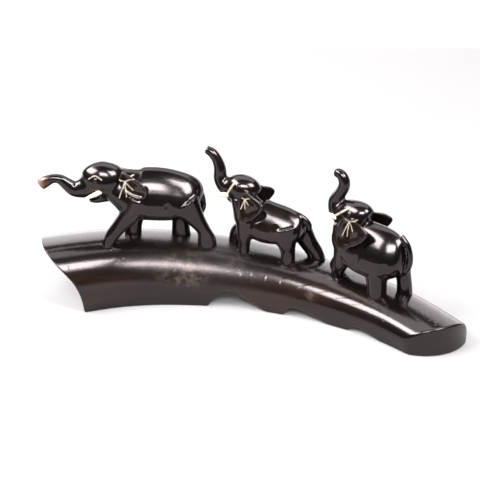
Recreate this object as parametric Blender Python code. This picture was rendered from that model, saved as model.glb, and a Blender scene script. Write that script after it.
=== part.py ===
"""Three carved elephants walking in line over a crescent-shaped, polished base.

The base is the thick end of a horn-shaped blank laid on its side: flat underneath, round on top, tapering
towards the tail of the line, with three arches cut under it. Each elephant is carved from one block. Its two
tusks are pegs of pale bone set in drilled sockets, and two steel pins hold it on the base.

Frame: +Z up, the line walks towards -X, the hollow side of the crescent faces -Y, and the origin is the
middle of the bounding box at table level. Every length below is in millimetres, and MM turns it to metres.
"""

import math

import bmesh
import bpy
from mathutils import Matrix, Vector

MM = 0.001

# The blank runs on past both slanted ends, which cut it. Places along the line are shares of its length.
BLANK_LENGTH, ORIGIN_SHARE, BLANK_SPANS = 350.0, 0.5074, 5
# Its spine in plan is two arcs that meet, level, at the crown. Its (width, height) falls from end to end.
CROWN_SHARE, CROWN_Y, HEAD_ARC, TAIL_ARC = 0.532, 26.1, 235.0, 258.0
THICK_END, THIN_END, TAPER_POWER = (66.5, 49.0), (43.5, 17.5), 1.5
BASE_RINGS = 12
# Shares of the section: the wall's height, the foot's width, and how high the round top's centre lies.
WALL_SHARE, FOOT_SHARE, CENTRE_SHARE = 0.41, 0.95, 0.15
ROUND_POINTS, ROUND_POWER = 22, 2.5

# The ends: the head end's cut runs out under the top, the tail end is rounded in plan and leans out a little.
# A place is (share of the length, distance off the spine).
HEAD_CUT_PLACE, HEAD_CUT_HEADING = (0.183, -37.9), 33.0
HEAD_CUT = ((0, -20), (0, 0), (1, 8), (3, 16), (6.5, 24), (12.5, 32), (19.5, 40), (26.5, 48), (40, 64))
TAIL_ROUND_PLACE, TAIL_ROUND_RADIUS, TAIL_HEADING, TAIL_LEAN = (0.860, 6.8), 34.0, -38.0, -2.0

# The arches under the base: (start, crown and end as shares of the length, crown height).
ARCHES = ((0.407, 0.451, 0.529, 14.0), (0.585, 0.609, 0.681, 7.5), (0.742, 0.764, 0.812, 4.3))

GLUE_GAP = 0.3
PIN_RADIUS, PIN_LENGTH, PIN_CLEARANCE = 1.0, 12.0, 0.3
PINNED_LEGS = ("near_front", "far_hind")
SIDES = {1: "left", -1: "right"}
# Tusks: (share of the length, radius), and how far the middle sags below the straight line.
TUSK_TAPER = ((0.0, 1.9), (0.3, 1.8), (0.6, 1.45), (0.85, 0.9), (1.0, 0.4))
TUSK_BOW, TUSK_CLEARANCE = 0.6, 0.3
EAR_THICKNESS = 2.4
VOXEL, SMOOTHING = 0.8, 5
CARVING_FACES = 3000

# An elephant stands at its place on the spine, `lift` above the top of the base there.
# Each elephant, in its own frame: +x forward, +y its left side, z up from the top of the base. A form is a
# run of stations (x, y, z, half width, half depth). The forms grow into each other as one carving.
LEAD = {
    "name": "lead",
    "at": (0.293, -6.3),
    "heading": 25.0,
    "lift": 3.0,
    "torso": ((-32, 0, 27, 3, 4), (-29.5, 0, 28, 10.5, 11), (-22.5, 0, 30, 14.5, 16),
              (-11, 0, 31.5, 15, 19),
              (2, 0, 33, 15, 20), (15, 0, 34, 14.5, 19), (25, 0, 38.5, 12, 15), (33, 0, 42.5, 9, 11)),
    "head": ((26, 0, 43, 8, 9), (32, 0, 44.5, 10.5, 12), (39, 0, 45, 11, 13.5), (44.5, 0, 44.4, 9.8, 12),
             (49, 0, 41.5, 7.8, 9), (54, 0, 39.5, 6, 6)),
    "trunk": ((47, 0, 41, 8, 9), (53, 0, 38.8, 7, 7.5), (59.5, 0, 38.3, 5.2, 5.8), (64.5, 0, 42, 4.3, 4.7),
              (69, 0, 45.7, 3.7, 3.7), (74, 0, 46.8, 3.4, 3.2), (79.5, 0, 44.7, 3.5, 4.1),
              (84, 0, 41.8, 3.2, 4.2)),
    "jaw": ((34, 0, 34, 6, 6), (40, 0, 31.2, 4.5, 4), (45, 0, 29.2, 3, 2.4), (49.5, 0, 29, 1.4, 1.2)),
    "near_front": ((14, 8.5, 32, 8, 10.5), (20, 9.5, 21, 6.8, 7.6), (27.5, 9, 12, 5.3, 5.6),
                   (33.5, 9, 4.5, 4.5, 5),
                   (37, 9, -3, 4, 4.4), (38, 9, -8, 4, 4.4)),
    "far_front": ((14, -7, 30, 8, 9.5), (16, -8, 15, 6, 7), (18, -8, 4, 5, 6), (19, -8, -10, 5.5, 7)),
    "near_hind": ((-19, 8.5, 28, 8.5, 12), (-27, 9, 16, 6, 7), (-33, 8, 6, 4.8, 5),
                  (-35.5, 7.5, -2, 5, 6.6),
                  (-36, 7.5, -10, 5, 7)),
    "far_hind": ((-18, -7, 25, 8, 10), (-17, -7.5, 12, 6, 6.5), (-17, -7.5, 4, 5, 6.5),
                 (-17.5, -7.5, -10, 5.5, 7.5)),
    "tail": ((-26, 0, 41, 2, 2), (-31.5, 0, 34, 2.2, 2), (-33.5, 0.5, 27, 2.2, 2), (-33.5, 1, 21, 2.4, 2.2),
             (-31, 1.5, 16, 2, 2)),
    "far_ear_shift": (6, 0, -1.5),
    "ear": ((25, 8.5, 54), (18, 12, 50.5), (11, 16, 47), (7, 17.5, 41), (9, 17, 35), (16, 16, 35),
            (24, 13.5, 40),
            (27.5, 11, 47)),
    "tusk_root": (38.5, 8.3, 39.8),
    "tusk_tip": (52.5, 9.6, 33.8),
}
MIDDLE = {
    "name": "middle",
    "at": (0.523, -2.4),
    "heading": 3.0,
    "lift": 0.5,
    "torso": ((-26.5, 0, 22.5, 3, 4), (-23.8, 0, 22.5, 9, 9.2), (-17, 0, 22.2, 12, 12.8),
              (-8, 0, 22.8, 12.8, 14.8),
              (4, 0, 24.5, 12.8, 16), (13, 0, 29, 12, 14.5), (17.5, 0, 36, 10.5, 10.5),
              (20.5, 0, 44, 8.5, 9)),
    "head": ((11, 0, 42.5, 6.5, 6.5), (15.5, 0, 46.5, 9, 9.2), (22, 0, 48, 10, 10), (29, 0, 47.5, 7.8, 8.5),
             (34.5, 0, 48, 5.5, 6)),
    "trunk": ((28, 0, 46.5, 7.5, 8.5), (34, 0, 48.5, 6, 6.2), (37.5, 0, 53.5, 4.7, 4.9),
              (37.8, 0, 60.3, 4.2, 4.4),
              (39.5, 0, 66.5, 3.8, 3.8), (43.3, 0, 72, 3.6, 3.5), (48.2, 0, 74.6, 3, 3)),
    "jaw": ((22, 0, 38.5, 6, 6), (27, 0, 38.5, 4.5, 4), (32, 0, 40, 2.6, 2.2)),
    "near_front": ((14.5, 7, 26, 7, 9.5), (16.8, 7.5, 14, 5, 5.6), (17.5, 6.5, 4, 3.9, 4.2),
                   (17.8, 6.5, -8, 4.2, 4.2)),
    "far_front": ((16, -6, 27, 6.5, 9), (22, -6.5, 15.5, 4.8, 5.5), (27, -6.5, 9.5, 4.4, 5),
                  (28.5, -6.5, 1, 4.2, 4.6),
                  (28.5, -6.5, -8, 4.2, 5)),
    "near_hind": ((-12, 7, 23, 7.2, 10.5), (-14.6, 7.8, 13, 5.8, 7.4), (-15.8, 6.5, 4, 4.7, 5.3),
                  (-15.8, 6.5, -8, 4.8, 5.3)),
    "far_hind": ((-20, -6, 21, 6.5, 9), (-27, -6.5, 9, 5, 6.8), (-32.5, -6.5, 1, 4.4, 6.2),
                 (-34.5, -6.5, -6, 4.7, 6.6),
                 (-34.5, -6.5, -12, 4.8, 6.6)),
    "tail": ((-17.5, 0, 33, 2, 2), (-24.5, 0, 29.8, 2.2, 2.2), (-29, 0, 25.2, 2.3, 2.3),
             (-30, 0, 20.5, 1.8, 1.8)),
    "far_ear_shift": (0, 0, 0.5),
    "ear": ((17, 8, 50), (10, 11, 46.5), (3, 15, 44), (0.5, 16.5, 40), (5, 16, 33), (12, 15, 28),
            (18, 12.5, 27),
            (20.5, 10, 37), (20.5, 8.5, 46)),
    "tusk_root": (29.5, 6.3, 43.8),
    "tusk_tip": (42.5, 8.0, 43.5),
}
REAR = {
    "name": "rear",
    "at": (0.721, -0.8),
    "heading": -17.0,
    "lift": 0.0,
    "torso": ((-38.3, 0, 26, 3, 4), (-35, 0, 25.8, 10.5, 12.5), (-25, 0, 26, 14.8, 18.3),
              (-11, 0, 26.5, 15.5, 20),
              (0, 0, 28, 14.5, 18.5), (6.5, 0, 31.5, 12.3, 14.5), (9.2, 0, 38, 10.5, 10.8),
              (11, 0, 43, 9, 9)),
    "head": ((-6.5, 0, 46, 7, 8), (-1, 0, 48, 9.5, 10.8), (7, 0, 48, 10, 11), (14, 0, 47.5, 8, 9.5),
             (19, 0, 48, 6, 7)),
    "trunk": ((13, 0, 46, 8, 9), (19, 0, 49, 6.2, 6.8), (20.8, 0, 55.5, 4.8, 5), (17.3, 0, 61.5, 4.1, 4.2),
              (14.3, 0, 67.5, 3.9, 4), (14.9, 0, 73, 3.8, 3.8), (18, 0, 76.2, 3.5, 3.5),
              (22, 0, 76.2, 3, 3)),
    "jaw": ((7, 0, 39.5, 6, 6), (11.5, 0, 39.5, 4.6, 4), (17, 0, 41.5, 2.8, 2.4)),
    "near_front": ((6, 7.5, 26, 7, 9.5), (10, 7.5, 12.5, 5.2, 5.8), (13, 6.5, 4, 4.2, 4.5),
                   (15, 6.5, -8, 4.2, 4.4)),
    "far_front": ((9, -6.5, 25, 7, 9), (16, -6.5, 12, 4.8, 5.4), (22, -6.5, 4, 4.2, 4.6),
                  (25, -6.5, -8, 4.4, 5)),
    "near_hind": ((-19, 8, 25, 8.5, 13), (-19.5, 8, 13, 6.6, 8.6), (-20, 7.5, 4, 6, 7.4),
                  (-20, 7, -10, 6, 7.4)),
    "far_hind": ((-28, -7, 22, 7.5, 9), (-32.5, -7.5, 9, 5, 5.5), (-34, -7.5, 0, 4.8, 5.5),
                 (-34.5, -7.5, -12, 5, 6)),
    "tail": ((-33, 0, 42, 2, 2), (-38.5, 0, 36, 2.2, 2), (-41, 0, 28, 2.2, 2), (-40.5, 0.5, 21, 2.3, 2.2),
             (-38, 1, 16, 2, 2)),
    "far_ear_shift": (0, 0, 0),
    "ear": ((4, 8, 50), (-4, 11.5, 49), (-12, 15.5, 48), (-16.5, 17.5, 44), (-12, 17.5, 37), (-3, 17, 31),
            (6, 14.5, 27), (12, 12, 30), (13, 10.5, 38), (10, 9, 46)),
    "tusk_root": (15.0, 5.8, 45.5),
    "tusk_tip": (25.0, 8.5, 48.5),
}
ELEPHANTS = (LEAD, MIDDLE, REAR)
# How much a form narrows towards its top, as a share of its width.
NARROWING = {"torso": 0.38, "head": 0.1}
FORMS = ("torso", "head", "trunk", "jaw", "near_front", "far_front", "near_hind", "far_hind", "tail")


def clear_scene():
    for obj in list(bpy.data.objects):
        bpy.data.objects.remove(obj)


def material(name, colour, roughness, metallic=0.0):
    made = bpy.data.materials.new(name)
    made.use_nodes = True
    shader = made.node_tree.nodes["Principled BSDF"]
    shader.inputs["Base Color"].default_value = (*colour, 1.0)
    shader.inputs["Roughness"].default_value = roughness
    shader.inputs["Metallic"].default_value = metallic
    return made


def add_object(name, work, surface=None, cutter=False):
    mesh = bpy.data.meshes.new(name)
    work.to_mesh(mesh)
    work.free()
    made = bpy.data.objects.new(name, mesh)
    bpy.context.scene.collection.objects.link(made)
    if surface:
        mesh.materials.append(surface)
    if cutter:
        made.hide_render = True
        made.display_type = "WIRE"
    return made


def smooth_run(rows, steps):
    """Points on a Catmull-Rom curve through the rows, with `steps` points per span."""
    rows = [Vector(row) for row in rows]
    ends = [2 * rows[0] - rows[1], *rows, 2 * rows[-1] - rows[-2]]
    run = []
    for a, b, c, d in zip(ends, ends[1:], ends[2:], ends[3:]):
        for step in range(steps):
            t = step / steps
            run.append(0.5 * (2 * b + (c - a) * t + (2 * a - 5 * b + 4 * c - d) * t**2
                              + (3 * b - a - 3 * c + d) * t**3))
    run.append(rows[-1])
    return run


def smooth_pairs(pairs, steps):
    return [tuple(point[:2]) for point in smooth_run([(*pair, 0) for pair in pairs], steps)]


def skin_rings(work, rings):
    """Joins rings of vertices into a closed tube, with a flat face on each end."""
    for ring, following in zip(rings, rings[1:]):
        for i, corner in enumerate(ring):
            j = (i + 1) % len(ring)
            work.faces.new((corner, ring[j], following[j], following[i]))
    work.faces.new(reversed(rings[0]))
    work.faces.new(rings[-1])


def close_outward(work):
    bmesh.ops.recalc_face_normals(work, faces=work.faces)


# ---------------------------------------------------------------- base


def section(width, height, grow=0.0):
    """The base's outline from front foot to back foot, as (across, up): leaning walls under a round top."""
    half, centre = width / 2 + grow, height * CENTRE_SHARE
    rise, wall = height - centre + grow, height * WALL_SHARE - centre
    lean = math.asin((wall / rise) ** (ROUND_POWER / 2))
    reach = half / math.cos(lean) ** (2 / ROUND_POWER)
    points = [(-half * FOOT_SHARE, -grow)]
    for step in range(ROUND_POINTS + 1):
        angle = math.pi - lean - (math.pi - 2 * lean) * step / ROUND_POINTS
        across, up = math.cos(angle), math.sin(angle)
        points.append((reach * math.copysign(abs(across) ** (2 / ROUND_POWER), across),
                       centre + rise * up ** (2 / ROUND_POWER)))
    return [*points, (half * FOOT_SHARE, -grow)]


def along_blank(share):
    return BLANK_LENGTH * (share - ORIGIN_SHARE)


def spine_station(share):
    """(x, y, width, height) of the blank at this share of its length."""
    x, crown = along_blank(share), along_blank(CROWN_SHARE)
    radius = HEAD_ARC if x < crown else TAIL_ARC
    y = CROWN_Y - radius + math.sqrt(radius**2 - (x - crown) ** 2)
    sizes = (thick + (thin - thick) * share**TAPER_POWER for thick, thin in zip(THICK_END, THIN_END))
    return x, y, *sizes


def beside_spine(share, off):
    x, y, *_ = spine_station(share)
    return x, y + off


def spine_rows():
    return [spine_station(step / BLANK_SPANS) for step in range(BLANK_SPANS + 1)]


def base_solid(grow=0.0):
    work = bmesh.new()
    rows = smooth_run(spine_rows(), BASE_RINGS)
    rings = []
    for i, row in enumerate(rows):
        ahead, behind = rows[min(i + 1, len(rows) - 1)], rows[max(i - 1, 0)]
        along = Vector((ahead[0] - behind[0], ahead[1] - behind[1])).normalized()
        ring = []
        for across, up in section(row[2], row[3], grow):
            corner = Vector((row[0] - along.y * across, row[1] + along.x * across, up))
            ring.append(work.verts.new(corner * MM))
        rings.append(ring)
    skin_rings(work, rings)
    close_outward(work)
    return work


def spine_place(x):
    """The spine's point nearest to this x, and its heading there."""
    rows = smooth_run([(x, y, 0) for x, y, *_ in spine_rows()], BASE_RINGS)
    here = min(range(1, len(rows) - 1), key=lambda i: abs(rows[i].x - x))
    ahead = rows[here + 1] - rows[here - 1]
    return rows[here], math.atan2(ahead.y, ahead.x)


def prism(name, outline, reach, place):
    """A closed cutter: an outline of (along, up) points carried `reach` to both sides of its own plane."""
    work = bmesh.new()
    rings = []
    for side in (-reach, reach):
        rings.append([work.verts.new(place @ Vector((along, side, up)) * MM) for along, up in outline])
    skin_rings(work, rings)
    close_outward(work)
    return add_object(name, work, cutter=True)


def head_cutter():
    """The space beyond the head end's cut."""
    far = 150
    bow = [(-out, up) for out, up in smooth_pairs(HEAD_CUT, 4)]
    outline = [*bow, (-far, bow[-1][1]), (-far, bow[0][1])]
    turn = Matrix.Rotation(math.radians(HEAD_CUT_HEADING), 4, "Z")
    place = Matrix.Translation((*beside_spine(*HEAD_CUT_PLACE), 0)) @ turn
    return prism("head_cutter", outline, far, place)


def tail_cutter():
    """The space beyond the tail end: a slab with a round bite, sheared so that the bite leans out."""
    far, tall, steps = 120, 70, 48
    bite = []
    for step in range(steps + 1):
        angle = math.radians(TAIL_HEADING - 85 + 170 * step / steps)
        bite.append(Vector((math.cos(angle), math.sin(angle), 0)) * TAIL_ROUND_RADIUS)
    ahead = Vector((math.cos(math.radians(TAIL_HEADING)), math.sin(math.radians(TAIL_HEADING)), 0))
    outline = [*bite, bite[-1] + ahead * far, bite[0] + ahead * far]
    work = bmesh.new()
    rings = []
    for level in (-tall, tall):
        lean = ahead * level * math.tan(math.radians(TAIL_LEAN))
        shift = Vector((*beside_spine(*TAIL_ROUND_PLACE), level)) + lean
        rings.append([work.verts.new((point + shift) * MM) for point in outline])
    skin_rings(work, rings)
    close_outward(work)
    return add_object("tail_cutter", work, cutter=True)


def arch_cutter(number, *shares, height):
    start, crown, end = (along_blank(share) for share in shares)
    middle, heading = spine_place(crown)
    steep, gentle = crown - start, end - crown
    top = smooth_pairs([(-steep, 0), (-0.55 * steep, 0.72 * height), (0, height),
                        (0.45 * gentle, 0.62 * height), (gentle, 0)], 6)
    outline = [(-steep, -10), *top, (gentle, -10)]
    place = Matrix.Translation(middle) @ Matrix.Rotation(heading, 4, "Z")
    return prism(f"arch_cutter_{number}", outline, 80, place)


# ---------------------------------------------------------------- carvings


def tube(work, rows, sides=20, steps=6, grow=0.0, narrowing=0.0):
    """A closed tube through stations (x, y, z, half width, half depth), its width kept level.

    `narrowing` is the share of the width that the tube loses towards its top and gains towards its foot.
    """
    run = smooth_run(rows, steps)
    rings = []
    for i, row in enumerate(run):
        ahead, behind = run[min(i + 1, len(run) - 1)], run[max(i - 1, 0)]
        along = Vector(ahead[:3]) - Vector(behind[:3])
        side = (Vector((0, 1, 0)) - along * along.y / along.length_squared).normalized()
        up = along.cross(side).normalized()
        ring = []
        for k in range(sides):
            turn = math.tau * k / sides
            reach = (row[3] + grow) * (1 - narrowing * math.sin(turn))
            spread = side * math.cos(turn) * reach + up * math.sin(turn) * (row[4] + grow)
            ring.append(work.verts.new((Vector(row[:3]) + spread) * MM))
        rings.append(ring)
    skin_rings(work, rings)


def mirrored(rows, side):
    return [(x, y * side, *rest) for x, y, *rest in rows]


def ear_plate(work, spec, side):
    """An ear: a plate through the outline, thinning to its rim."""
    shift = Vector(spec["far_ear_shift"] if side < 0 else (0, 0, 0))
    loop = [Vector(point) + shift for point in mirrored(spec["ear"], side)]
    middle = sum(loop, Vector()) / len(loop)
    quarter = len(loop) // 4
    across = (loop[quarter] - loop[3 * quarter]).cross(loop[0] - loop[2 * quarter]).normalized()
    rim = [work.verts.new(point * MM) for point in loop]
    poles = [work.verts.new((middle + across * way * EAR_THICKNESS) * MM) for way in (-1, 1)]
    inner = []
    for way in (-1, 1):
        inner.append([work.verts.new((point.lerp(middle, 0.12) + across * way * EAR_THICKNESS / 2) * MM)
                      for point in loop])
    for ring, pole in zip(inner, poles):
        for i, corner in enumerate(ring):
            j = (i + 1) % len(ring)
            work.faces.new((corner, ring[j], pole))
            work.faces.new((rim[i], rim[j], ring[j], corner))


def settle(obj):
    """Replaces the object's mesh by what its modifiers make of it."""
    bpy.context.view_layer.update()
    seen = obj.evaluated_get(bpy.context.evaluated_depsgraph_get())
    mesh = bpy.data.meshes.new_from_object(seen)
    obj.modifiers.clear()
    obj.data = mesh


def carving(spec, surface):
    """One elephant's block: its forms grown together, smoothed, and thinned to a few thousand faces."""
    work = bmesh.new()
    for form in FORMS:
        tube(work, spec[form], narrowing=NARROWING.get(form, 0.0))
    for side in (-1, 1):
        ear_plate(work, spec, side)
    close_outward(work)
    made = add_object(f"elephant_{spec['name']}", work, surface)
    remesh = made.modifiers.new("grow_together", "REMESH")
    remesh.mode = "VOXEL"
    remesh.voxel_size = VOXEL * MM
    smooth = made.modifiers.new("polish", "SMOOTH")
    smooth.iterations = SMOOTHING
    settle(made)
    thin = made.modifiers.new("thin", "DECIMATE")
    thin.ratio = CARVING_FACES / (2 * len(made.data.polygons))
    settle(made)
    made.matrix_world = stance(spec)
    return made


def stance(spec):
    share, off = spec["at"]
    x, y, _, top = spine_station(share)
    turn = Matrix.Rotation(math.radians(180 + spec["heading"]), 4, "Z")
    return Matrix.Translation(Vector((x, y + off, top + spec["lift"])) * MM) @ turn


def cut(obj, cutter, label):
    boolean = obj.modifiers.new(label, "BOOLEAN")
    boolean.operation = "DIFFERENCE"
    boolean.object = cutter


def tusk(spec, side, surface):
    """A tapered peg and the cutter of its socket."""
    root, tip = (Vector((x, y * side, z)) for x, y, z in (spec["tusk_root"], spec["tusk_tip"]))
    droop = Vector((0, 0, -TUSK_BOW))
    rows = []
    for share, radius in TUSK_TAPER:
        point = root.lerp(tip, share) + droop * 4 * share * (1 - share)
        rows.append((*point, radius, radius))
    made = []
    for name, grow, skin in ((f"{spec['name']}_tusk_{SIDES[side]}", 0.0, surface),
                             (f"{spec['name']}_socket_{SIDES[side]}", TUSK_CLEARANCE, None)):
        work = bmesh.new()
        tube(work, stretched(rows, grow), sides=12, steps=2, grow=grow)
        close_outward(work)
        obj = add_object(name, work, skin, cutter=skin is None)
        obj.matrix_world = stance(spec)
        made.append(obj)
    return made


def stretched(rows, extra):
    """The rows with both end points moved outwards."""
    first, second = Vector(rows[0][:3]), Vector(rows[1][:3])
    last, before = Vector(rows[-1][:3]), Vector(rows[-2][:3])
    start = first + (first - second).normalized() * extra
    stop = last + (last - before).normalized() * extra
    return [(*start, *rows[0][3:]), *rows[1:-1], (*stop, *rows[-1][3:])]


def rod(name, middle, along, radius, length, surface=None):
    work = bmesh.new()
    place = Matrix.Translation(middle * MM) @ along.to_track_quat("Z", "Y").to_matrix().to_4x4()
    bmesh.ops.create_cone(work, cap_ends=True, segments=16, radius1=radius * MM, radius2=radius * MM,
                          depth=length * MM, matrix=place)
    return add_object(name, work, surface, cutter=surface is None)


def foot_place(spec, leg, ground):
    """Where a leg's middle line meets the top of the base, and the leg's direction there."""
    world = stance(spec)
    run = [world @ (Vector(row[:3]) * MM) for row in smooth_run(spec[leg], 8)]
    for above, below in zip(run, run[1:]):
        hit, place, _, _ = ground.ray_cast(above, below - above, distance=(below - above).length)
        if hit:
            return place / MM, (above - below).normalized()
    raise ValueError(f"{spec['name']} {leg} misses the base")


def build():
    clear_scene()
    horn = material("black_horn", (0.012, 0.009, 0.008), 0.12)
    bone = material("bone", (0.86, 0.78, 0.62), 0.35)
    steel = material("pin_steel", (0.55, 0.55, 0.56), 0.3, 1.0)

    base = add_object("crescent_base", base_solid(), horn)
    seat_cutter = add_object("seat_cutter", base_solid(GLUE_GAP), cutter=True)
    for spec in ELEPHANTS:
        elephant = carving(spec, horn)
        cut(elephant, seat_cutter, "seat")
        for side in SIDES:
            _, socket = tusk(spec, side, bone)
            cut(elephant, socket, f"socket_{SIDES[side]}")
        for leg in PINNED_LEGS:
            place, along = foot_place(spec, leg, base)
            label = f"{spec['name']}_pin_{leg}"
            rod(label, place, along, PIN_RADIUS, PIN_LENGTH, steel)
            bore_radius, bore_length = PIN_RADIUS + PIN_CLEARANCE, PIN_LENGTH + 2 * PIN_CLEARANCE
            bore = rod(f"{label}_bore", place, along, bore_radius, bore_length)
            cut(elephant, bore, f"bore_{leg}")
            cut(base, bore, label)
    cut(base, head_cutter(), "head_end")
    cut(base, tail_cutter(), "tail_end")
    for number, arch in enumerate(ARCHES, 1):
        cut(base, arch_cutter(number, *arch[:3], height=arch[3]), f"arch_{number}")


build()
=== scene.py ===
"""The looks of three polished black elephants walking in line over a crescent-shaped base.

Lengths are millimetres in the tables and in every function, and MM turns them to metres in the meshes.
"""

import itertools
import math

import bmesh
import bpy
import numpy as np
from mathutils import Matrix, Vector


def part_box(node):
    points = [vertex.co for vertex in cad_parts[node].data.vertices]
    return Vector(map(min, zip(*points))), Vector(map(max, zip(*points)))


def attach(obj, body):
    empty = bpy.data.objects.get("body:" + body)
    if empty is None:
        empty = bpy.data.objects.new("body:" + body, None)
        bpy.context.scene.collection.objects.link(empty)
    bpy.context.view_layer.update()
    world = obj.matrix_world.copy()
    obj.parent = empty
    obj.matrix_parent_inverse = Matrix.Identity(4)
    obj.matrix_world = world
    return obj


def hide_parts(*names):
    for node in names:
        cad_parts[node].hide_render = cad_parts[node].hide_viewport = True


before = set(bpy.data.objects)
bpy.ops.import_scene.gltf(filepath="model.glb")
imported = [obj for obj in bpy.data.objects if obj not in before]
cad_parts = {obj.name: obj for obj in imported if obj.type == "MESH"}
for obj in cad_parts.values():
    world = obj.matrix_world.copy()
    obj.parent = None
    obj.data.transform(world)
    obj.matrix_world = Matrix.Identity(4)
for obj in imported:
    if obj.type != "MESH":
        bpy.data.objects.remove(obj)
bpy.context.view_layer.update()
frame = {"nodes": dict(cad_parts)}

MM = 0.001

# ---------------------------------------------------------------- the part's own tables, in millimetres
# Places along the line are shares of the blank's length.
BLANK_LENGTH, ORIGIN_SHARE, BLANK_SPANS = 350.0, 0.5074, 5
CROWN_SHARE, CROWN_Y, HEAD_ARC, TAIL_ARC = 0.532, 26.1, 235.0, 258.0
THICK_END, THIN_END, TAPER_POWER = (66.5, 49.0), (43.5, 17.5), 1.5
WALL_SHARE, FOOT_SHARE, CENTRE_SHARE, ROUND_POWER = 0.41, 0.95, 0.15, 2.5
HEAD_CUT_PLACE, HEAD_CUT_HEADING = (0.183, -37.9), 33.0
HEAD_CUT = ((0, -20), (0, 0), (1, 8), (3, 16), (6.5, 24), (12.5, 32), (19.5, 40), (26.5, 48), (40, 64))
TAIL_ROUND_PLACE, TAIL_ROUND_RADIUS, TAIL_HEADING, TAIL_LEAN = (0.860, 6.8), 34.0, -38.0, -2.0
ARCHES = ((0.407, 0.451, 0.529, 14.0), (0.585, 0.609, 0.681, 7.5), (0.742, 0.764, 0.812, 4.3))
NARROWING = {"torso": 0.38, "head": 0.1}
FLOWING = ("torso", "head", "trunk", "jaw", "near_front", "far_front", "near_hind", "far_hind")

# Each elephant, in its own frame: +x forward, +y its left side, z up from the top of the base.
LEAD = {
    "name": "lead",
    "at": (0.293, -6.3),
    "heading": 25.0,
    "lift": 3.0,
    "torso": ((-32, 0, 27, 3, 4), (-29.5, 0, 28, 10.5, 11), (-22.5, 0, 30, 14.5, 16),
              (-11, 0, 31.5, 15, 19),
              (2, 0, 33, 15, 20), (15, 0, 34, 14.5, 19), (25, 0, 38.5, 12, 15), (33, 0, 42.5, 9, 11)),
    "head": ((26, 0, 43, 8, 9), (32, 0, 44.5, 10.5, 12), (39, 0, 45, 11, 13.5), (44.5, 0, 44.4, 9.8, 12),
             (49, 0, 41.5, 7.8, 9), (54, 0, 39.5, 6, 6)),
    "trunk": ((47, 0, 41, 8, 9), (53, 0, 38.8, 7, 7.5), (59.5, 0, 38.3, 5.2, 5.8), (64.5, 0, 42, 4.3, 4.7),
              (69, 0, 45.7, 3.7, 3.7), (74, 0, 46.8, 3.4, 3.2), (79.5, 0, 44.7, 3.5, 4.1),
              (84, 0, 41.8, 3.2, 4.2)),
    "jaw": ((34, 0, 34, 6, 6), (40, 0, 31.2, 4.5, 4), (45, 0, 29.2, 3, 2.4), (49.5, 0, 29, 1.4, 1.2)),
    "near_front": ((14, 8.5, 32, 8, 10.5), (20, 9.5, 21, 6.8, 7.6), (27.5, 9, 12, 5.3, 5.6),
                   (33.5, 9, 4.5, 4.5, 5),
                   (37, 9, -3, 4, 4.4), (38, 9, -8, 4, 4.4)),
    "far_front": ((14, -7, 30, 8, 9.5), (16, -8, 15, 6, 7), (18, -8, 4, 5, 6), (19, -8, -10, 5.5, 7)),
    "near_hind": ((-19, 8.5, 28, 8.5, 12), (-27, 9, 16, 6, 7), (-33, 8, 6, 4.8, 5),
                  (-35.5, 7.5, -2, 5, 6.6),
                  (-36, 7.5, -10, 5, 7)),
    "far_hind": ((-18, -7, 25, 8, 10), (-17, -7.5, 12, 6, 6.5), (-17, -7.5, 4, 5, 6.5),
                 (-17.5, -7.5, -10, 5.5, 7.5)),
    "tail": ((-26, 0, 41, 2, 2), (-31.5, 0, 34, 2.2, 2), (-33.5, 0.5, 27, 2.2, 2), (-33.5, 1, 21, 2.4, 2.2),
             (-31, 1.5, 16, 2, 2)),
    "far_ear_shift": (6, 0, -1.5),
    "ear": ((25, 8.5, 54), (18, 12, 50.5), (11, 16, 47), (7, 17.5, 41), (9, 17, 35), (16, 16, 35),
            (24, 13.5, 40),
            (27.5, 11, 47)),
    "tusk_root": (38.5, 8.3, 39.8),
    "tusk_tip": (52.5, 9.6, 33.8),
}
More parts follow.
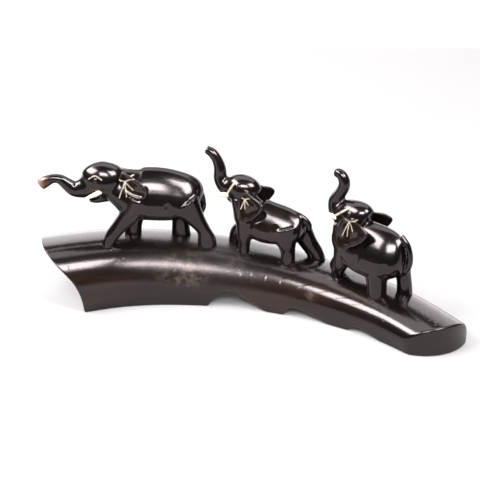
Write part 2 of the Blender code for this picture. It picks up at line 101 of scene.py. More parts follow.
MIDDLE = {
    "name": "middle",
    "at": (0.523, -2.4),
    "heading": 3.0,
    "lift": 0.5,
    "torso": ((-26.5, 0, 22.5, 3, 4), (-23.8, 0, 22.5, 9, 9.2), (-17, 0, 22.2, 12, 12.8),
              (-8, 0, 22.8, 12.8, 14.8),
              (4, 0, 24.5, 12.8, 16), (13, 0, 29, 12, 14.5), (17.5, 0, 36, 10.5, 10.5),
              (20.5, 0, 44, 8.5, 9)),
    "head": ((11, 0, 42.5, 6.5, 6.5), (15.5, 0, 46.5, 9, 9.2), (22, 0, 48, 10, 10), (29, 0, 47.5, 7.8, 8.5),
             (34.5, 0, 48, 5.5, 6)),
    "trunk": ((28, 0, 46.5, 7.5, 8.5), (34, 0, 48.5, 6, 6.2), (37.5, 0, 53.5, 4.7, 4.9),
              (37.8, 0, 60.3, 4.2, 4.4),
              (39.5, 0, 66.5, 3.8, 3.8), (43.3, 0, 72, 3.6, 3.5), (48.2, 0, 74.6, 3, 3)),
    "jaw": ((22, 0, 38.5, 6, 6), (27, 0, 38.5, 4.5, 4), (32, 0, 40, 2.6, 2.2)),
    "near_front": ((14.5, 7, 26, 7, 9.5), (16.8, 7.5, 14, 5, 5.6), (17.5, 6.5, 4, 3.9, 4.2),
                   (17.8, 6.5, -8, 4.2, 4.2)),
    "far_front": ((16, -6, 27, 6.5, 9), (22, -6.5, 15.5, 4.8, 5.5), (27, -6.5, 9.5, 4.4, 5),
                  (28.5, -6.5, 1, 4.2, 4.6),
                  (28.5, -6.5, -8, 4.2, 5)),
    "near_hind": ((-12, 7, 23, 7.2, 10.5), (-14.6, 7.8, 13, 5.8, 7.4), (-15.8, 6.5, 4, 4.7, 5.3),
                  (-15.8, 6.5, -8, 4.8, 5.3)),
    "far_hind": ((-20, -6, 21, 6.5, 9), (-27, -6.5, 9, 5, 6.8), (-32.5, -6.5, 1, 4.4, 6.2),
                 (-34.5, -6.5, -6, 4.7, 6.6),
                 (-34.5, -6.5, -12, 4.8, 6.6)),
    "tail": ((-17.5, 0, 33, 2, 2), (-24.5, 0, 29.8, 2.2, 2.2), (-29, 0, 25.2, 2.3, 2.3),
             (-30, 0, 20.5, 1.8, 1.8)),
    "far_ear_shift": (0, 0, 0.5),
    "ear": ((17, 8, 50), (10, 11, 46.5), (3, 15, 44), (0.5, 16.5, 40), (5, 16, 33), (12, 15, 28),
            (18, 12.5, 27),
            (20.5, 10, 37), (20.5, 8.5, 46)),
    "tusk_root": (29.5, 6.3, 43.8),
    "tusk_tip": (42.5, 8.0, 43.5),
}
REAR = {
    "name": "rear",
    "at": (0.721, -0.8),
    "heading": -17.0,
    "lift": 0.0,
    "torso": ((-38.3, 0, 26, 3, 4), (-35, 0, 25.8, 10.5, 12.5), (-25, 0, 26, 14.8, 18.3),
              (-11, 0, 26.5, 15.5, 20),
              (0, 0, 28, 14.5, 18.5), (6.5, 0, 31.5, 12.3, 14.5), (9.2, 0, 38, 10.5, 10.8),
              (11, 0, 43, 9, 9)),
    "head": ((-6.5, 0, 46, 7, 8), (-1, 0, 48, 9.5, 10.8), (7, 0, 48, 10, 11), (14, 0, 47.5, 8, 9.5),
             (19, 0, 48, 6, 7)),
    "trunk": ((13, 0, 46, 8, 9), (19, 0, 49, 6.2, 6.8), (20.8, 0, 55.5, 4.8, 5), (17.3, 0, 61.5, 4.1, 4.2),
              (14.3, 0, 67.5, 3.9, 4), (14.9, 0, 73, 3.8, 3.8), (18, 0, 76.2, 3.5, 3.5),
              (22, 0, 76.2, 3, 3)),
    "jaw": ((7, 0, 39.5, 6, 6), (11.5, 0, 39.5, 4.6, 4), (17, 0, 41.5, 2.8, 2.4)),
    "near_front": ((6, 7.5, 26, 7, 9.5), (10, 7.5, 12.5, 5.2, 5.8), (13, 6.5, 4, 4.2, 4.5),
                   (15, 6.5, -8, 4.2, 4.4)),
    "far_front": ((9, -6.5, 25, 7, 9), (16, -6.5, 12, 4.8, 5.4), (22, -6.5, 4, 4.2, 4.6),
                  (25, -6.5, -8, 4.4, 5)),
    "near_hind": ((-19, 8, 25, 8.5, 13), (-19.5, 8, 13, 6.6, 8.6), (-20, 7.5, 4, 6, 7.4),
                  (-20, 7, -10, 6, 7.4)),
    "far_hind": ((-28, -7, 22, 7.5, 9), (-32.5, -7.5, 9, 5, 5.5), (-34, -7.5, 0, 4.8, 5.5),
                 (-34.5, -7.5, -12, 5, 6)),
    "tail": ((-33, 0, 42, 2, 2), (-38.5, 0, 36, 2.2, 2), (-41, 0, 28, 2.2, 2), (-40.5, 0.5, 21, 2.3, 2.2),
             (-38, 1, 16, 2, 2)),
    "far_ear_shift": (0, 0, 0),
    "ear": ((4, 8, 50), (-4, 11.5, 49), (-12, 15.5, 48), (-16.5, 17.5, 44), (-12, 17.5, 37), (-3, 17, 31),
            (6, 14.5, 27), (12, 12, 30), (13, 10.5, 38), (10, 9, 46)),
    "tusk_root": (15.0, 5.8, 45.5),
    "tusk_tip": (25.0, 8.5, 48.5),
}

# ---------------------------------------------------------------- looks
BASE_STEP, EDGE_ROUND = 0.85, 1.6
# (voxel size, rounds of smoothing) for the flowing forms, and for the whole carving.
CORE_GRAIN, FINE_GRAIN = (0.6, 20), (0.5, 4)
CAMERA_TARGET, CAMERA_AZIMUTH, CAMERA_ELEVATION = (-27.5, 50.9, 30.0), 20.0, 24.0
CAMERA_DISTANCE, CAMERA_LENS = 900.0, 87.75


# Pale mottling in the base: (centre, half sizes, strength), and where glue shows by the feet.
PALE_PATCHES = (
    ((-50, -8, 27), (24, 22, 15), 0.75),
    ((-12, -4, 34), (14, 12, 8), 0.45),
    ((46, -6, 22), (9, 9, 7), 0.6),
)
PATCH_COLOUR, GLUE_COLOUR = (0.14, 0.105, 0.085), (0.42, 0.36, 0.30)
GLUE_SIZE, GLUE_STRENGTH = (8, 8, 12), 1.4
GLUED_FEET = (
    ("lead", "near_front"),
    ("middle", "near_front"),
    ("middle", "near_hind"),
    ("rear", "near_front"),
    ("rear", "near_hind"),
)
# Carved strokes: half width, how far the surface moves out, and how wide their pale filler is.
STROKES = {
    "cut": (1.1, -0.5, 0),
    "hollow": (3.2, -0.7, 0),
    "pale": (0.6, -0.2, 0.3),
    "band": (1.0, 0.25, 0.7),
    "eye": (1.5, 0.6, 0),
}
# The scratched star by each ear: (heading in degrees, length) of its strokes.
STAR = ((-70, 13), (-95, 11), (-135, 8), (160, 7), (20, 4))
# Each elephant's star (centre, size), eye, brow radius, tusk band and plain strokes, as (forward, up).
MARKS = {
    "lead": {"star": ((23, 47), 1.0), "eye": (44, 48), "brow": 5.0,
             "hollow": (((9, 40), (11, 19)), ((-7, 28), (-13, 16))), "cut": (((50, 35), (38, 42)),)},
    "middle": {"star": ((16, 43), 0.6), "eye": (22, 52), "brow": 0, "band": ((30, 45), (25, 53)),
               "hollow": (((3, 32), (14, 22)), ((-7, 24), (-5, 16))), "cut": (((32, 43), (22, 42)),)},
    "rear": {"star": ((3, 47), 0.9), "eye": (4, 52), "brow": 0, "band": ((19, 45), (5, 56)),
             "hollow": (((-12, 36), (-6, 18)), ((-29, 22), (-30, 15))), "cut": (((-37, 37), (-39, 22)),)},
}
# The brow over the eye: where its points lie on an arc, in degrees, and its height as a share of its radius.
BROW_SWEEP, BROW_FLATTENING = (20, 90, 160), 0.8


def strokes(marks):
    """The carved strokes of one elephant, as (kind, points)."""
    (x, z), size = marks["star"]
    for heading, length in STAR:
        turn = math.radians(heading)
        reach = size * length
        yield "pale", [(x, z), (x + reach * math.cos(turn), z + reach * math.sin(turn))]
    yield "eye", [marks["eye"]] * 2
    if marks["brow"]:
        x, z = marks["eye"]
        wide, tall = marks["brow"], BROW_FLATTENING * marks["brow"]
        arc = []
        for turn in map(math.radians, BROW_SWEEP):
            arc.append((x + wide * math.cos(turn), z - 1 + tall * math.sin(turn)))
        yield "pale", arc
    if "band" in marks:
        yield "band", list(marks["band"])
    for kind in ("hollow", "cut"):
        for ends in marks[kind]:
            yield kind, list(ends)


def smooth_run(rows, steps):
    """Points on a Catmull-Rom curve through the rows, with `steps` points per span, as an array."""
    rows = np.asarray(rows, float)
    ends = np.vstack([2 * rows[0] - rows[1], rows, 2 * rows[-1] - rows[-2]])
    t = (np.arange(steps) / steps)[:, None]
    run = []
    for a, b, c, d in zip(ends, ends[1:], ends[2:], ends[3:]):
        run.append(0.5 * (2 * b + (c - a) * t + (2 * a - 5 * b + 4 * c - d) * t**2
                          + (3 * b - a - 3 * c + d) * t**3))
    return np.vstack([*run, rows[-1:]])


# ---------------------------------------------------------------- base, as a field that is below 0 inside


def along_blank(share):
    return BLANK_LENGTH * (share - ORIGIN_SHARE)


def spine_station(share):
    """(x, y, width, height) of the blank at this share of its length."""
    x, crown = along_blank(share), along_blank(CROWN_SHARE)
    radius = HEAD_ARC if x < crown else TAIL_ARC
    y = CROWN_Y - radius + math.sqrt(radius**2 - (x - crown) ** 2)
    sizes = (thick + (thin - thick) * share**TAPER_POWER for thick, thin in zip(THICK_END, THIN_END))
    return x, y, *sizes


def beside_spine(share, off):
    x, y, *_ = spine_station(share)
    return x, y + off


HEAD_CUT_FOOT, TAIL_ROUND_CENTRE = beside_spine(*HEAD_CUT_PLACE), beside_spine(*TAIL_ROUND_PLACE)


class Spine:
    """The base's middle line, sampled finely, with headings that change smoothly."""

    def __init__(self):
        self.rows = smooth_run([spine_station(step / BLANK_SPANS) for step in range(BLANK_SPANS + 1)], 40)
        along = np.gradient(self.rows[:, :2], axis=0)
        self.along = along / np.linalg.norm(along, axis=1, keepdims=True)
        self.span = np.linalg.norm(np.diff(self.rows[:, :2], axis=0), axis=1).mean()
        self.square = (self.rows[:, :2] ** 2).sum(1).astype(np.float32)

    def place(self, points):
        """For each point: its distance across the line, the base's width and height, and the way along."""
        nearest = np.empty(len(points), int)
        for start in range(0, len(points), 20000):
            piece = points[start:start + 20000, :2].astype(np.float32)
            cross = piece @ self.rows[:, :2].astype(np.float32).T
            nearest[start:start + 20000] = np.argmin(self.square - 2 * cross, axis=1)
        offset = ((points[:, :2] - self.rows[nearest, :2]) * self.along[nearest]).sum(1) / self.span
        at = np.clip(nearest + offset, 0, len(self.rows) - 1.001)
        low = at.astype(int)
        part = (at - low)[:, None]
        row = self.rows[low] * (1 - part) + self.rows[low + 1] * part
        along = self.along[low] * (1 - part) + self.along[low + 1] * part
        across = (points[:, 1] - row[:, 1]) * along[:, 0] - (points[:, 0] - row[:, 0]) * along[:, 1]
        return across, row[:, 2], row[:, 3], at * self.span

    def frame_at(self, x):
        here = np.argmin(abs(self.rows[:, 0] - x))
        return self.rows[here, :2], self.along[here]


SPINE = Spine()


def body_field(points):
    across, width, height, _ = SPINE.place(points)
    half, wall, centre = width / 2, height * WALL_SHARE, height * CENTRE_SHARE
    up, rise = points[:, 2], height - centre
    reach = half / (1 - ((wall - centre) / rise) ** ROUND_POWER) ** (1 / ROUND_POWER)
    low = abs(across) - half * (FOOT_SHARE + (1 - FOOT_SHARE) * np.clip(up, -5, None) / wall)
    lift = np.clip((up - centre) / rise, 0, None)
    top = ((abs(across) / reach) ** ROUND_POWER + lift**ROUND_POWER) ** (1 / ROUND_POWER) - 1
    return np.where(up > wall, top * reach, low)


def head_field(points):
    """Above 0 beyond the head end's cut."""
    turn = math.radians(HEAD_CUT_HEADING)
    x, y = points[:, 0] - HEAD_CUT_FOOT[0], points[:, 1] - HEAD_CUT_FOOT[1]
    along = x * math.cos(turn) + y * math.sin(turn)
    bow = smooth_run(HEAD_CUT, 12)
    return -(along + np.interp(points[:, 2], bow[:, 1], bow[:, 0]))


def tail_field(points):
    turn = math.radians(TAIL_HEADING)
    lean = math.tan(math.radians(TAIL_LEAN)) * points[:, 2]
    x = points[:, 0] - TAIL_ROUND_CENTRE[0] - lean * math.cos(turn)
    y = points[:, 1] - TAIL_ROUND_CENTRE[1] - lean * math.sin(turn)
    ahead = x * math.cos(turn) + y * math.sin(turn)
    return np.where(ahead > 0, np.hypot(x, y), 0) - TAIL_ROUND_RADIUS


def arch_field(points, start, crown, end, height):
    """Above 0 inside an arch under the base."""
    middle, along = SPINE.frame_at(crown)
    place = (points[:, :2] - middle) @ along
    steep, gentle = crown - start, end - crown
    top = smooth_run([(-steep - 8, -8), (-steep, 0), (-0.55 * steep, 0.72 * height), (0, height),
                      (0.45 * gentle, 0.62 * height), (gentle, 0), (gentle + 16, -6)], 8)
    return np.interp(place, top[:, 0], top[:, 1], -20, -20) - points[:, 2]


def unit_slope(field, points):
    """The field's value over its slope, which is close to a distance, and its direction of steepest rise."""
    value = field(points)
    rise = np.stack([field(points + np.eye(3)[axis] * 0.05) - field(points - np.eye(3)[axis] * 0.05)
                     for axis in range(3)], axis=1) / 0.1
    slope = np.linalg.norm(rise, axis=1)
    return value / np.maximum(slope, 0.2), rise / np.maximum(slope, 1e-6)[:, None]


def rounded_most(a, b, reach):
    """The larger of two fields, rounded where they meet."""
    blend = np.clip(reach - abs(a - b), 0, None) / reach
    return np.maximum(a, b) + blend**2 * reach / 4


def base_field(points):
    value = rounded_most(body_field(points), -points[:, 2], 0.8)
    value = rounded_most(value, head_field(points), EDGE_ROUND)
    value = rounded_most(value, tail_field(points), EDGE_ROUND)
    for *shares, rise in ARCHES:
        arch = (*(along_blank(share) for share in shares), rise)
        value = rounded_most(value, arch_field(points, *arch), EDGE_ROUND)
    return value


def skin_of(field, low, high, step):
    """Points and quads around the space where the field is below 0, one point per cell that it crosses."""
    axes = [np.arange(a, b + step, step) for a, b in zip(low, high)]
    grid = np.stack(np.meshgrid(*axes, indexing="ij"), -1)
    inside = field(grid.reshape(-1, 3)).reshape(grid.shape[:3]) < 0
    cells = [n - 1 for n in inside.shape]
    count = sum(inside[i:cells[0] + i, j:cells[1] + j, k:cells[2] + k].astype(int)
                for i, j, k in itertools.product((0, 1), repeat=3))
    mixed = (count > 0) & (count < 8)
    number = np.full(mixed.shape, -1)
    number[mixed] = np.arange(mixed.sum())
    points = np.argwhere(mixed) * step + np.asarray(low) + step / 2
    quads = []
    for axis in range(3):
        one, two = [a for a in range(3) if a != axis]
        ahead = np.roll(inside, -1, axis)
        crossing = inside != ahead
        crossing[tuple(slice(-1, None) if a == axis else slice(None) for a in range(3))] = False
        for place in (crossing & inside, crossing & ahead):
            at = np.argwhere(place)
            corners = []
            for i, j in ((0, 0), (1, 0), (1, 1), (0, 1)):
                cell = at.copy()
                cell[:, one] -= i
                cell[:, two] -= j
                corners.append(number[tuple(cell.T)])
            quad = np.stack(corners, 1)
            flip = (axis == 1) != (place is not None and len(at) > 0 and not inside[tuple(at[0])])
            quads.append(quad[:, ::-1] if flip else quad)
    return points, np.vstack(quads)


def settle_on(field, points, quads, rounds=3):
    """Evens the points out over the surface, with each round ending exactly on it."""
    edges = np.vstack([quads[:, [0, 1]], quads[:, [1, 2]], quads[:, [2, 3]], quads[:, [3, 0]]])
    degree = np.bincount(edges.ravel(), minlength=len(points))[:, None]
    for _ in range(rounds):
        total = np.zeros_like(points)
        for axis in range(3):
            total[:, axis] = (np.bincount(edges[:, 0], points[edges[:, 1], axis], len(points))
                              + np.bincount(edges[:, 1], points[edges[:, 0], axis], len(points)))
        points = 0.5 * points + 0.5 * total / degree
        away, along = unit_slope(field, points)
        points = points - along * np.clip(away, -1, 1)[:, None]
    return points, unit_slope(field, points)[1]


def mesh_object(name, points, faces, normals=None):
    mesh = bpy.data.meshes.new(name)
    mesh.from_pydata((np.asarray(points) * MM).tolist(), [], np.asarray(faces).tolist())
    mesh.shade_smooth()
    if normals is not None:
        mesh.normals_split_custom_set_from_vertices(normals.tolist())
    made = bpy.data.objects.new(name, mesh)
    bpy.context.scene.collection.objects.link(made)
    return made


def polished_base():
    low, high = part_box("crescent_base")
    low, high = np.array(low) / MM - 2.3 * BASE_STEP, np.array(high) / MM + 2.3 * BASE_STEP
    points, quads = skin_of(base_field, low, high, BASE_STEP * (1))
    points, normals = settle_on(base_field, points, quads)
    points[:, 2] = np.clip(points[:, 2], 0, None)
    made = mesh_object("polished_base", points, quads, normals)
    across, _, _, along = SPINE.place(points)
    grain = np.stack([along, across, points[:, 2]], axis=1) * MM
    made.data.attributes.new("grain", "FLOAT_VECTOR", "POINT").data.foreach_set("vector", grain.ravel())
    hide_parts("crescent_base")
    return made


# ---------------------------------------------------------------- carvings


def tube(work, rows, sides=32, steps=9, grow=0.0, narrowing=0.0):
    """A closed tube through stations (x, y, z, half width, half depth), its width kept level."""
    run = smooth_run(rows, steps)
    along = np.gradient(run[:, :3], axis=0)
    rings = []
    for row, way in zip(run, along):
        way = Vector(way).normalized()
        side = (Vector((0, 1, 0)) - way * way.y).normalized()
        up = way.cross(side).normalized()
        ring = []
        for k in range(sides):
            turn = math.tau * k / sides
            reach = (row[3] + grow) * (1 - narrowing * math.sin(turn))
            spread = side * math.cos(turn) * reach + up * math.sin(turn) * (row[4] + grow)
            ring.append(work.verts.new((Vector(row[:3]) + spread) * MM))
        rings.append(ring)
    for ring, following in zip(rings, rings[1:]):
        for i, corner in enumerate(ring):
            j = (i + 1) % len(ring)
            work.faces.new((corner, ring[j], following[j], following[i]))
    work.faces.new(reversed(rings[0]))
    work.faces.new(rings[-1])


def mirrored(rows, side):
    return [(x, y * side, *rest) for x, y, *rest in rows]


def ear_loop(spec, side, steps=5):
    shift = np.array(spec["far_ear_shift"] if side < 0 else (0, 0, 0), float)
    outline = mirrored([*spec["ear"], spec["ear"][0]], side)
    return smooth_run(outline, steps)[:-1] + shift


# An ear from rim to middle: (share of the way in, how far its outer face and its inner face stand off).
EAR_DISH = (
    (0.02, 0.35, 0.35),
    (0.08, 0.95, 0.8),
    (0.16, 0.95, 1.0),
    (0.30, 0.25, 1.2),
    (0.55, -0.15, 1.3),
    (0.85, 0.2, 1.4),
)


def ear_plate(work, spec, side):
    """An ear: a shallow dish with a raised rim."""
    loop = [Vector(point) for point in ear_loop(spec, side)]
    middle = sum(loop, Vector()) / len(loop)
    quarter, half, three_quarters = len(loop) // 4, len(loop) // 2, 3 * len(loop) // 4
    across = (loop[quarter] - loop[three_quarters]).cross(loop[0] - loop[half]).normalized()
    if across.y * side < 0:
        across.negate()
    rims = []
    for face in (0, 1):
        rings = []
        for share, *stand in EAR_DISH:
            offset = across * (stand[0] if face == 0 else -stand[1])
            rings.append([work.verts.new((point.lerp(middle, share) + offset) * MM) for point in loop])
        pole = work.verts.new((middle + offset) * MM)
        for outer, inner in zip(rings, rings[1:]):
            for i in range(len(loop)):
                j = (i + 1) % len(loop)
                work.faces.new((outer[i], outer[j], inner[j], inner[i]))
        for i in range(len(loop)):
            work.faces.new((rings[-1][i], rings[-1][(i + 1) % len(loop)], pole))
        rims.append(rings[0])
    front, back = rims
    for i in range(len(loop)):
        j = (i + 1) % len(loop)
        work.faces.new((front[i], front[j], back[j], back[i]))


def settle(obj):
    """Replaces the object's mesh by what its modifiers make of it."""
    bpy.context.view_layer.update()
    seen = obj.evaluated_get(bpy.context.evaluated_depsgraph_get())
    mesh = bpy.data.meshes.new_from_object(seen)
    obj.modifiers.clear()
    obj.data = mesh


def stance(spec):
    share, off = spec["at"]
    x, y, _, top = spine_station(share)
    turn = Matrix.Rotation(math.radians(180 + spec["heading"]), 4, "Z")
    return Matrix.Translation(Vector((x, y + off, top + spec["lift"])) * MM) @ turn


def grown_together(name, work, voxel, polish):
    """One closed skin round everything in `work`, smoothed `polish` times."""
    bmesh.ops.recalc_face_normals(work, faces=work.faces)
    mesh = bpy.data.meshes.new(name)
    work.to_mesh(mesh)
    work.free()
    made = bpy.data.objects.new(name, mesh)
    bpy.context.scene.collection.objects.link(made)
    remesh = made.modifiers.new("grow_together", "REMESH")
    remesh.mode = "VOXEL"
    remesh.voxel_size = voxel * MM
    smooth = made.modifiers.new("polish", "SMOOTH")
    smooth.iterations = polish
    settle(made)
    return made


def carving(spec):
    """One elephant's block: its forms flow together, then ears and tail are added and the lines cut."""
    work = bmesh.new()
    for form in FLOWING:
        tube(work, spec[form], grow=0.25, narrowing=NARROWING.get(form, 0.0))
    core = grown_together("core", work, *CORE_GRAIN)
    work = bmesh.new()
    work.from_mesh(core.data)
    bpy.data.objects.remove(core)
    tube(work, spec["tail"])
    for side in (-1, 1):
        ear_plate(work, spec, side)
    made = grown_together(f"carved_{spec['name']}", work, *FINE_GRAIN)
    made.data.shade_smooth()
    incise(made, spec)
    made.matrix_world = stance(spec)
    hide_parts(f"elephant_{spec['name']}")
    return made


def distance_to(points, run):
    """Each point's distance to the nearest place on a run of straight lines."""
    near = np.full(len(points), 1e9)
    for a, b in zip(run, run[1:]):
        way = b - a
        share = np.clip(((points - a) @ way) / max(way @ way, 1e-9), 0, 1)
        near = np.minimum(near, np.linalg.norm(points - a - share[:, None] * way, axis=1))
    return near


def incise(obj, spec):
    """Cuts the carved lines, raises the eyes, and stores where the pale lines and the amber colour lie, with
    a band along each ear's rim that is partly a painted rim highlight.
    """
    mesh = obj.data
    count = len(mesh.vertices)
    place, normal = np.empty(count * 3, np.float32), np.empty(count * 3, np.float32)
    mesh.vertices.foreach_get("co", place)
    mesh.vertex_normals.foreach_get("vector", normal)
    place, normal = place.reshape(-1, 3) / MM, normal.reshape(-1, 3)
    flat = place[:, [0, 2]]
    mark, push, tint_and_rim_highlight = np.zeros(count), np.zeros(count), np.zeros(count)
    outer = abs(normal[:, 1]) > 0.2
    outer &= place[:, 1] * normal[:, 1] > 0
    for kind, points in strokes(MARKS[spec["name"]]):
        width, depth, paint = STROKES[kind]
        near = np.where(outer, distance_to(flat, smooth_run(points, 6)), 1e9)
        push += depth * np.clip(1 - (near / width) ** 2, 0, None) ** 2
        if paint:
            mark = np.maximum(mark, np.clip(1.4 - near / paint, 0, 1))
    # Each ear's rim gets a brown band that is partly the thin horn's amber and partly a painted rim
    # highlight. Its middle gets a faint amber of the horn itself, and the lead's trunk tip gets its own pale
    # brown.
    for side in (-1, 1):
        outline = ear_loop(spec, side)
        tint_and_rim_highlight = np.maximum(tint_and_rim_highlight, 0.4 * np.clip(1.1 - distance_to(place, outline) / 1.6, 0, 1))
        tint_and_rim_highlight = np.maximum(tint_and_rim_highlight, 0.12 * np.exp(-((place - outline.mean(0)) ** 2).sum(1) / 50))
    if spec["name"] == "lead":
        tint_and_rim_highlight = np.maximum(tint_and_rim_highlight, 2 * np.clip((place[:, 0] - 76) / 9, 0, 1))
    place = place + normal * np.clip(push, -0.7, 0.7)[:, None]
    mesh.vertices.foreach_set("co", (place * MM).astype(np.float32).ravel())
    for name, value in (("mark", mark), ("tint_and_rim_highlight", tint_and_rim_highlight)):
        mesh.attributes.new(name, "FLOAT", "POINT").data.foreach_set("value", value.astype(np.float32))
    mesh.update()


# Tusks: (share of the length, radius), and four times how far the middle sags below the straight line.
TUSK_TAPER, TUSK_SAG = ((0.0, 1.9), (0.3, 1.8), (0.6, 1.45), (0.85, 0.9), (0.97, 0.45), (1.0, 0.15)), 2.4


def tusks(spec):
    made = []
    for side, label in ((1, "left"), (-1, "right")):
        root, tip = (np.array((x, y * side, z)) for x, y, z in (spec["tusk_root"], spec["tusk_tip"]))
        rows = []
        for share, radius in TUSK_TAPER:
            point = root + (tip - root) * share - np.array((0, 0, TUSK_SAG * share * (1 - share)))
            rows.append((*point, radius, radius))
        work = bmesh.new()
        tube(work, rows, sides=24, steps=6)
        bmesh.ops.recalc_face_normals(work, faces=work.faces)
        mesh = bpy.data.meshes.new("tusk")
        work.to_mesh(mesh)
        work.free()
        mesh.shade_smooth()
        tusk = bpy.data.objects.new(f"{spec['name']}_ivory_tusk_{label}", mesh)
        bpy.context.scene.collection.objects.link(tusk)
        tusk.matrix_world = stance(spec)
        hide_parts(f"{spec['name']}_tusk_{label}")
        made.append(tusk)
    return made


# ---------------------------------------------------------------- materials


class Nodes:
    """Short names for making a material's nodes."""

    def __init__(self, name):
        self.material = bpy.data.materials.new(name)
        self.material.use_nodes = True
        self.tree = self.material.node_tree
        self.shader = self.tree.nodes["Principled BSDF"]

    def add(self, kind, inputs=None, **settings):
        node = self.tree.nodes.new(kind)
        for key, value in settings.items():
            setattr(node, key, value)
        for key, value in (inputs or {}).items():
            if isinstance(value, bpy.types.NodeSocket):
                self.tree.links.new(value, node.inputs[key])
            else:
                node.inputs[key].default_value = value
        return node

    def feed(self, **inputs):
        for key, value in inputs.items():
            socket = self.shader.inputs[key.replace("_", " ")]
            if isinstance(value, bpy.types.NodeSocket):
                self.tree.links.new(value, socket)
            else:
                socket.default_value = value

    def noise(self, place, scale, detail=4.0, rough=0.55, stretch=(1, 1, 1)):
        mapped = self.add("ShaderNodeMapping", {"Vector": place, "Scale": stretch})
        return self.add("ShaderNodeTexNoise", {"Vector": mapped.outputs["Vector"], "Scale": scale,
                                               "Detail": detail, "Roughness": rough}).outputs["Fac"]

    def ramp(self, value, stops):
        node = self.add("ShaderNodeValToRGB", {"Fac": value})
        while len(node.color_ramp.elements) < len(stops):
            node.color_ramp.elements.new(0.5)
        for element, (place, colour) in zip(node.color_ramp.elements, stops):
            element.position = place
            element.color = (*colour, 1)
        return node.outputs["Color"]

    def range(self, value, low, high, to_low, to_high):
        return self.add("ShaderNodeMapRange", {"Value": value, "From Min": low, "From Max": high,
                                               "To Min": to_low, "To Max": to_high}).outputs["Result"]

    def mix(self, amount, first, second, kind="MIX"):
        node = self.add("ShaderNodeMix", data_type="RGBA", blend_type=kind)
        for socket, value in ((0, amount), (6, first), (7, second)):
            if isinstance(value, bpy.types.NodeSocket):
                self.tree.links.new(value, node.inputs[socket])
            else:
                node.inputs[socket].default_value = value if socket == 0 else (*value, 1)
        return node.outputs[2]

    def bump(self, height, strength, distance):
        made = self.add("ShaderNodeBump", {"Height": height, "Strength": strength, "Distance": distance})
        return made.outputs["Normal"]


WARM_GLOSS = (1.0, 0.87, 0.88, 1.0)
BLACK, UMBER = (0.0022, 0.0016, 0.0016), (0.014, 0.0065, 0.0045)


def horn_colour(n, place, along):
    """Near black, with brown streaks drawn out along the block and a slow drift between dark and brown."""
    streaks = n.noise(place, 60, 6, 0.62, along)
    drift = n.noise(place, 14, 2, 0.5)
    colour = n.ramp(streaks, ((0.36, BLACK), (0.52, (0.005, 0.0032, 0.0028)), (0.64, UMBER),
                              (0.80, (0.030, 0.015, 0.010))))
    return n.mix(n.range(drift, 0.35, 0.62, 0.15, 1.0), BLACK, colour)


def near(n, place, centre, size, strength):
    """`strength` at the centre, falling to nothing at the given half sizes round it."""
    offset = n.add("ShaderNodeVectorMath", {0: place, 1: [c * MM for c in centre]}, operation="SUBTRACT")
    scaled = n.add("ShaderNodeVectorMath", {0: offset.outputs[0], 1: [1 / (s * MM) for s in size]},
                   operation="MULTIPLY")
    reach = n.add("ShaderNodeVectorMath", {0: scaled.outputs[0]}, operation="LENGTH").outputs["Value"]
    return n.range(reach, 0.15, 1.0, strength, 0.0)


def product(n, *values):
    made = values[0]
    for value in values[1:]:
        made = n.add("ShaderNodeMath", {0: made, 1: value}, operation="MULTIPLY").outputs[0]
    return made


def base_material():
    n = Nodes("horn_base")
    place = n.add("ShaderNodeTexCoord").outputs["Object"]
    grain = n.add("ShaderNodeAttribute", attribute_name="grain").outputs["Vector"]
    colour = horn_colour(n, grain, (0.10, 0.8, 0.8))
    mottle = n.range(n.noise(grain, 150, 6, 0.72, (0.7, 1, 1)), 0.44, 0.66, 0.0, 1.0)
    for centre, size, strength in PALE_PATCHES:
        colour = n.mix(product(n, near(n, place, centre, size, strength), mottle), colour, PATCH_COLOUR)
    flecks = n.range(n.noise(place, 420, 3, 0.6), 0.60, 0.68, 0.0, 1.0)
    for name, leg in GLUED_FEET:
        spec = next(spec for spec in (LEAD, MIDDLE, REAR) if spec["name"] == name)
        x, y, *_ = spec[leg][-2]
        spot = stance(spec) @ (Vector((x, y, 0)) * MM) / MM
        glue = near(n, place, spot, GLUE_SIZE, GLUE_STRENGTH)
        colour = n.mix(product(n, glue, flecks), colour, GLUE_COLOUR)
    along = n.add("ShaderNodeSeparateXYZ", {"Vector": grain}).outputs["X"]
    dull = product(n, n.range(along, 0.07, 0.13, 0.0, 1.0), n.range(along, 0.17, 0.24, 1.0, 0.0))
    wear = n.noise(grain, 45, 5, 0.65, (0.4, 1, 1))
    worn = product(n, dull, n.range(wear, 0.3, 0.7, 0.5, 1.0))
    buff = n.noise(grain, 700, 3, 0.6, (1.0, 0.06, 0.06))
    scratch = n.noise(grain, 900, 2, 0.5, (0.03, 1.0, 1.0))
    marks = n.add("ShaderNodeMath", {0: buff, 1: scratch}, operation="ADD").outputs[0]
    n.feed(Base_Color=colour, Roughness=n.range(worn, 0, 1, 0.17, 0.36), Specular_Tint=WARM_GLOSS,
           Normal=n.bump(marks, 0.09, 0.0002))
    return n.material


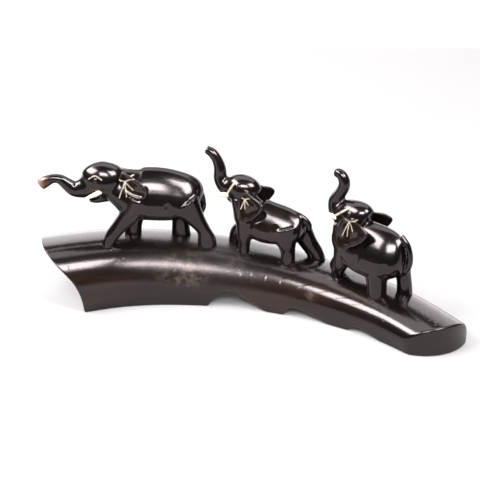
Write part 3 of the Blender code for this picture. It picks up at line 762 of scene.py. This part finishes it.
def carving_material():
    n = Nodes("horn_carving")
    place = n.add("ShaderNodeTexCoord").outputs["Object"]
    colour = horn_colour(n, place, (0.35, 1.0, 0.5))
    tint_and_rim_highlight = n.add("ShaderNodeAttribute", attribute_name="tint_and_rim_highlight").outputs["Fac"]
    cloud = n.range(n.noise(place, 160, 3, 0.6), 0.3, 0.6, 0.3, 1.0)
    # Along each ear's rim the brown is partly the thin horn's amber and partly a painted rim highlight;
    # values above 1 give the lead's pale brown trunk tip.
    colour = n.mix(product(n, n.range(tint_and_rim_highlight, 0, 1, 0, 1), cloud), colour, (0.040, 0.020, 0.009))
    colour = n.mix(n.range(tint_and_rim_highlight, 1, 1.8, 0, 0.9), colour, (0.20, 0.115, 0.09))
    mark = n.add("ShaderNodeAttribute", attribute_name="mark").outputs["Fac"]
    broken = n.range(n.noise(place, 500, 2, 0.5), 0.3, 0.5, 0.55, 1.0)
    filled = product(n, mark, broken)
    colour = n.mix(filled, colour, (0.38, 0.32, 0.25))
    buff = n.noise(place, 260, 4, 0.6, (0.4, 1.0, 1.0))
    n.feed(Base_Color=colour, Roughness=n.range(filled, 0, 1, 0.16, 0.6), Specular_IOR_Level=0.32,
           Specular_Tint=WARM_GLOSS, Normal=n.bump(buff, 0.06, 0.0003))
    n.shader.inputs["Specular IOR Level"].default_value = 0.5
    return n.material


def ivory_material():
    n = Nodes("cream_tusk")
    place = n.add("ShaderNodeTexCoord").outputs["Object"]
    grain = n.noise(place, 300, 4, 0.6, (0.2, 1, 1))
    n.feed(Base_Color=n.ramp(grain, ((0.3, (0.62, 0.48, 0.30)), (0.6, (0.80, 0.70, 0.52)))),
           Roughness=n.range(grain, 0.3, 0.7, 0.3, 0.45), Normal=n.bump(grain, 0.1, 0.0002))
    n.shader.inputs["Subsurface Weight"].default_value = 0.2
    n.shader.inputs["Subsurface Radius"].default_value = (0.002, 0.0015, 0.001)
    n.shader.inputs["Subsurface Scale"].default_value = 1.0
    return n.material


# ---------------------------------------------------------------- stage


def plain(name, colour, roughness, glow=0.0):
    n = Nodes(name)
    n.feed(Base_Color=(*colour, 1), Roughness=roughness)
    if glow:
        n.feed(Emission_Color=(*colour, 1), Emission_Strength=glow)
    return n.material


def sheet(name, corners, surface):
    made = mesh_object(name, [[c / MM for c in corner] for corner in corners], [(0, 1, 2, 3)])
    made.data.materials.append(surface)
    return made


def softbox(name, place, aim, size, power, colour=(1, 1, 1)):
    light = bpy.data.lights.new(name, "AREA")
    light.shape = "RECTANGLE"
    light.size, light.size_y = size
    light.energy = power
    light.color = colour
    made = bpy.data.objects.new(name, light)
    bpy.context.scene.collection.objects.link(made)
    made.location = place
    made.rotation_mode = "QUATERNION"
    made.rotation_quaternion = (Vector(aim) - Vector(place)).to_track_quat("-Z", "Y")
    return made


# The paper sweep, in metres from the object: away from the camera, to each side, and up.
FLOOR_FRONT, FLOOR_BACK, BACKDROP_BACK, HALF_WIDE = -0.42, 0.75, 1.1, 1.6
FLOOR_LEVEL, BACKDROP_TOP = -0.0002, 1.0


def studio():
    turn, lift = math.radians(CAMERA_AZIMUTH), math.radians(CAMERA_ELEVATION)
    target = Vector(CAMERA_TARGET) * MM
    back = Vector((math.sin(turn) * math.cos(lift), -math.cos(turn) * math.cos(lift), math.sin(lift)))
    camera = bpy.data.objects.new("camera", bpy.data.cameras.new("camera"))
    bpy.context.scene.collection.objects.link(camera)
    camera.location = target + back * CAMERA_DISTANCE * MM
    camera.rotation_mode = "QUATERNION"
    camera.rotation_quaternion = (-back).to_track_quat("-Z", "Y")
    camera.data.lens = CAMERA_LENS
    camera.data.clip_start = 0.01
    bpy.context.scene.camera = camera
    bpy.context.scene.view_settings.view_transform = "Standard"

    world = bpy.data.worlds.new("studio")
    bpy.context.scene.world = world
    world.use_nodes = True
    world.node_tree.nodes["Background"].inputs["Color"].default_value = (1.0, 0.99, 1.0, 1)
    world.node_tree.nodes["Background"].inputs["Strength"].default_value = 0.06

    right = Vector((math.cos(turn), math.sin(turn), 0))
    ahead = Vector((-math.sin(turn), math.cos(turn), 0))

    def at(along_view, across, up):
        return tuple(ahead * along_view + right * across + Vector((0, 0, up)))

    def aimed(azimuth, elevation, distance):
        """A place round the object, with azimuth 0 at the camera."""
        round_it, above = math.radians(azimuth), math.radians(elevation)
        level = math.cos(above) * distance
        return at(-math.cos(round_it) * level, math.sin(round_it) * level, math.sin(above) * distance)

    paper = plain("paper", (0.30, 0.289, 0.292), 0.9, 0.10)
    sheet("floor", [at(FLOOR_FRONT, -HALF_WIDE, FLOOR_LEVEL), at(FLOOR_FRONT, HALF_WIDE, FLOOR_LEVEL),
                    at(FLOOR_BACK, HALF_WIDE, FLOOR_LEVEL), at(FLOOR_BACK, -HALF_WIDE, FLOOR_LEVEL)], paper)
    glow = plain("backdrop_glow", (0.97, 0.955, 0.97), 0.9, 1.0)
    sheet("backdrop", [at(FLOOR_BACK, -HALF_WIDE, FLOOR_LEVEL), at(FLOOR_BACK, HALF_WIDE, FLOOR_LEVEL),
                       at(BACKDROP_BACK, HALF_WIDE, BACKDROP_TOP),
                       at(BACKDROP_BACK, -HALF_WIDE, BACKDROP_TOP)], glow)

    softbox("front_softbox", aimed(-4, 41, 1.3), at(0, 0, 0.05), (0.62, 0.27), 18)
    softbox("left_softbox", aimed(-74, 47, 1.3), at(0, 0, 0.05), (1.0, 0.40), 36)
    softbox("right_softbox", aimed(44, 48, 1.3), at(0, 0, 0.05), (0.5, 0.42), 20)
    softbox("top_softbox", at(0.45, 0.0, 1.5), at(0.2, 0, 0), (2.4, 1.0), 22)


def steel_material():
    n = Nodes("pin_steel")
    place = n.add("ShaderNodeTexCoord").outputs["Object"]
    grain = n.noise(place, 900, 3, 0.6)
    n.feed(Base_Color=n.ramp(grain, ((0.3, (0.30, 0.30, 0.31)), (0.7, (0.46, 0.46, 0.47)))), Metallic=1.0,
           Roughness=n.range(grain, 0, 1, 0.22, 0.4))
    return n.material


# ---------------------------------------------------------------- the whole


def build(frame):
    studio()
    base = polished_base()
    base.data.materials.append(base_material())
    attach(base, "root")
    carved = carving_material()
    ivory = ivory_material()
    for spec in (LEAD, MIDDLE, REAR):
        elephant = carving(spec)
        elephant.data.materials.append(carved)
        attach(elephant, "root")
        for tusk in tusks(spec):
            tusk.data.materials.append(ivory)
            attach(tusk, "root")
    steel = steel_material()
    for name, node in frame["nodes"].items():
        if "_pin_" in name:
            node.data.materials.clear()
            node.data.materials.append(steel)


build(frame)
